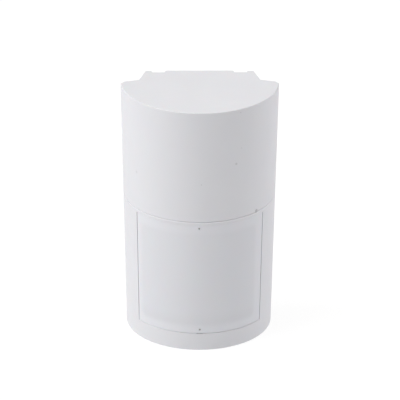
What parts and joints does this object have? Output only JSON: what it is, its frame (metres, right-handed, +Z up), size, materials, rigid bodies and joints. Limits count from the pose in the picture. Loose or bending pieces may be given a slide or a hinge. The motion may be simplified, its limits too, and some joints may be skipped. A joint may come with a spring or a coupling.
{
  "type": "motion sensor",
  "caption": "Wall-mounted passive infrared motion sensor: curved cover with a lens window, hinged on a rear base that holds the board, sensor and battery.",
  "frame": {"origin": "bottom centre of the closed sensor's bounding box", "axes": "+Z up, the curved front with the lens looks along -Y, +Y is the wall side"},
  "size_m": [0.0648, 0.045, 0.1082],
  "materials": {
    "housing": "fine matt white ABS",
    "lens": "translucent milky polyethylene",
    "base": "fine matt white ABS",
    "retainer": "matt black plastic",
    "screw_steel": "zinc plated",
    "brass": "knurled, plain",
    "board": "green solder mask",
    "radio_board": "blue solder mask",
    "can_metal": "nickel plated",
    "filter_glass": "dark infrared filter",
    "lead_metal": "tin plated",
    "foam": "closed-cell foam",
    "led": "tinted clear resin",
    "switch_black": "matt black plastic",
    "switch_white": "white nylon",
    "spring_steel": "bright spring wire",
    "dip_body": "matt blue plastic",
    "copper": "copper wire",
    "chip": "moulded epoxy",
    "resistor": "printed ceramic",
    "capacitor": "tan ceramic",
    "capacitor_can": "drawn aluminium",
    "gold_pin": "gold plated",
    "holder": "matt black plastic",
    "cell_metal": "nickel-coloured can",
    "sleeve": "shrink sleeve, no print",
    "insulator": "paper washer"
  },
  "bodies": {
    "base": {"rear_base": "base", "threaded_insert": "brass", "circuit_board": "board", "board_screws": "screw_steel", "pir_sensor": "can_metal", "pir_sensor_window": "filter_glass", "pir_sensor_leads": "lead_metal", "sensor_gasket": "foam", "status_led": "led", "tamper_switch": "switch_black", "tamper_spring": "spring_steel", "learn_switch": "can_metal", "dip_switch": "dip_body", "radio_board": "radio_board", "radio_shield": "can_metal", "antenna": "copper", "crystal": "can_metal", "microcontroller": "chip", "amplifier_chip": "chip", "chip_leads": "lead_metal", "chip_resistors": "resistor", "chip_capacitors": "capacitor", "electrolytic_capacitors": "capacitor_can", "capacitor_bases": "switch_black", "program_header": "switch_black", "program_pins": "gold_pin", "battery_holder": "holder", "battery_contact_positive": "can_metal", "battery_contact_negative": "can_metal"},
    "front_cover": {"upper_housing": "housing", "lower_housing": "housing", "fresnel_lens": "lens", "lens_retainer": "retainer", "retainer_screws": "screw_steel", "housing_screws": "screw_steel"},
    "cover_screw": {"cover_screw": "screw_steel"},
    "tamper_plunger": {"tamper_plunger": "switch_white"},
    "learn_button": {"learn_button": "switch_black"},
    "battery": {"battery": "cell_metal", "battery_sleeve": "sleeve", "battery_insulator": "insulator"},
    "dip_slider_1": {"dip_slider_1": "switch_white"},
    "dip_slider_2": {"dip_slider_2": "switch_white"},
    "dip_slider_3": {"dip_slider_3": "switch_white"},
    "dip_slider_4": {"dip_slider_4": "switch_white"}
  },
  "joints": [
    {"name": "cover_hinge", "type": "hinge", "parent": "base", "child": "front_cover", "pos_m": [0, 0.0189, 0.1039], "axis": [-1, 0, 0], "range_deg": [0, 24]},
    {"name": "cover_screw_turn", "type": "hinge", "parent": "base", "child": "cover_screw", "pos_m": [0, 0.0165, 0], "axis": [0, 0, 1], "range_deg": [0, 720]},
    {"name": "tamper_plunger_slide", "type": "slide", "parent": "base", "child": "tamper_plunger", "axis": [0, -1, 0], "range_m": [0, 0.0014]},
    {"name": "learn_button_press", "type": "slide", "parent": "base", "child": "learn_button", "axis": [0, 1, 0], "range_m": [0, 0.00035], "stiffness_N_per_m": 800},
    {"name": "battery_lift_out", "type": "slide", "parent": "base", "child": "battery", "axis": [0, -1, 0], "range_m": [0, 0.0085]},
    {"name": "dip_slider_1_slide", "type": "slide", "parent": "base", "child": "dip_slider_1", "axis": [0, 0, 1], "range_m": [0, 0.0016]},
    {"name": "dip_slider_2_slide", "type": "slide", "parent": "base", "child": "dip_slider_2", "axis": [0, 0, 1], "range_m": [0, 0.0016]},
    {"name": "dip_slider_3_slide", "type": "slide", "parent": "base", "child": "dip_slider_3", "axis": [0, 0, 1], "range_m": [0, 0.0016]},
    {"name": "dip_slider_4_slide", "type": "slide", "parent": "base", "child": "dip_slider_4", "axis": [0, 0, 1], "range_m": [0, 0.0016]}
  ],
  "couplings": [
    {"joint": "tamper_plunger_slide", "follows": "cover_hinge", "m_per_rad": 0.0033419}
  ]
}
